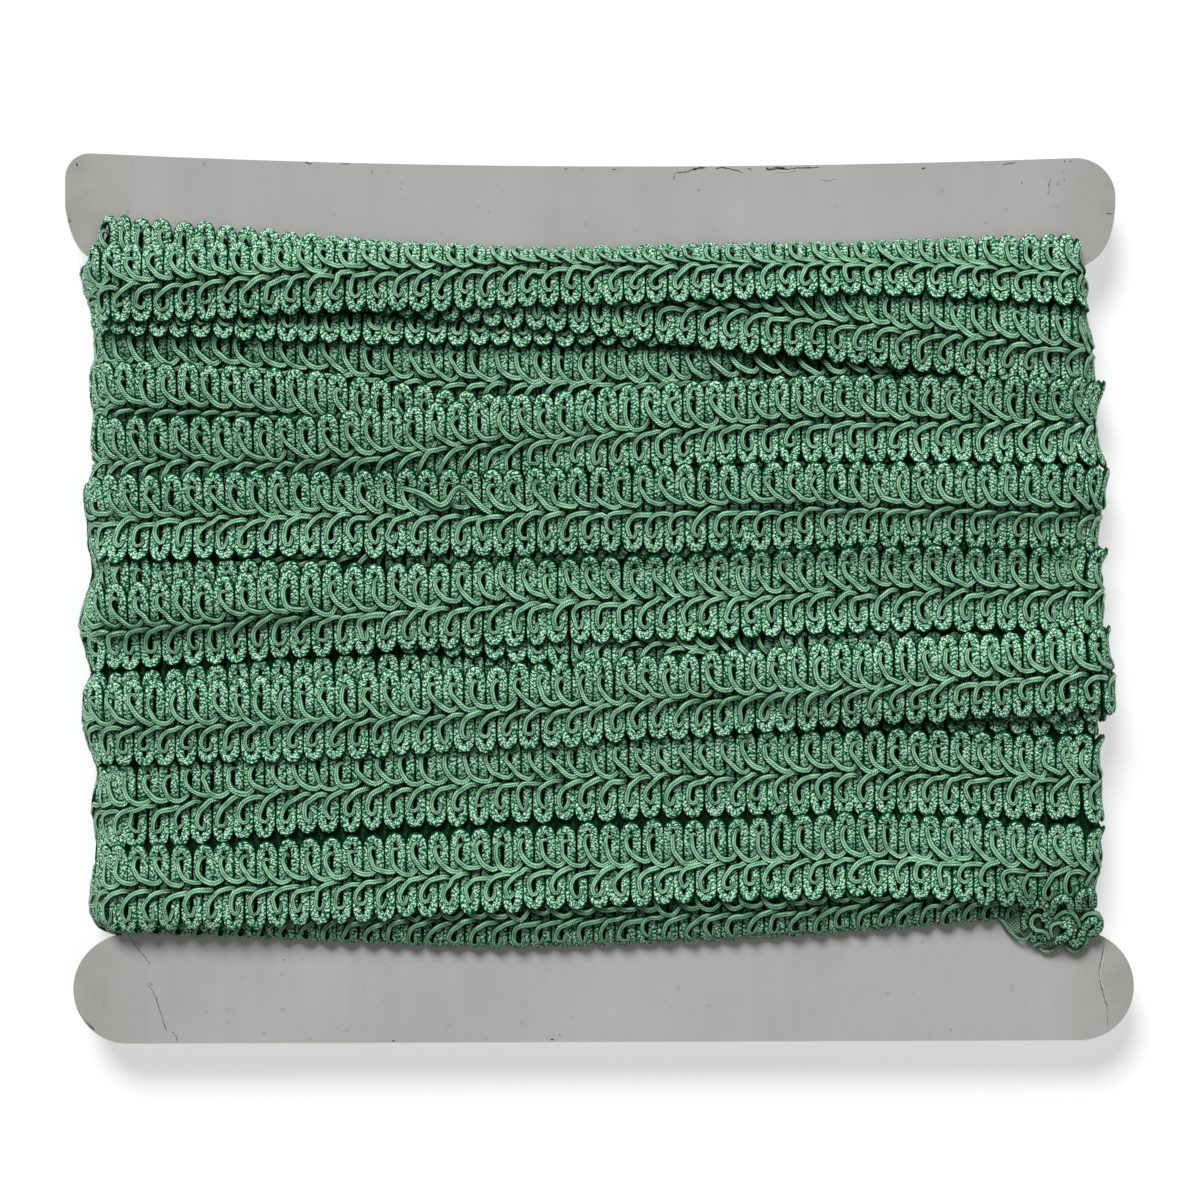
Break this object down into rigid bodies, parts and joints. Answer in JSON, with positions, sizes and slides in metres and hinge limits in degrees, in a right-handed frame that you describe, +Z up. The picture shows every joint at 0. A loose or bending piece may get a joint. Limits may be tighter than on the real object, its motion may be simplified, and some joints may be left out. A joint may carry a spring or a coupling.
{
  "type": "gimp braid on card",
  "caption": "Scroll gimp braid with scalloped edges and a herringbone spine, wound in overlapping rows round a flat notched card, with one bunched end.",
  "frame": {"origin": "on the surface under the middle of the whole part, which lies flat on the back of its winding", "axes": "+X along the winding towards the end with the bunched tail, +Y across the card towards its slightly dipped long edge, +Z up, away from the surface"},
  "size_m": [0.157, 0.1308, 0.016],
  "materials": {
    "card_board": "matte coated white board with scuffed edges",
    "braid": "sea-green rayon gimp with a soft sheen, plaited cord scallops and two-ply gimp spine"
  },
  "bodies": {
    "root": {"card": "card_board", "braid_winding": "braid", "braid_tail": "braid"}
  },
  "joints": []
}
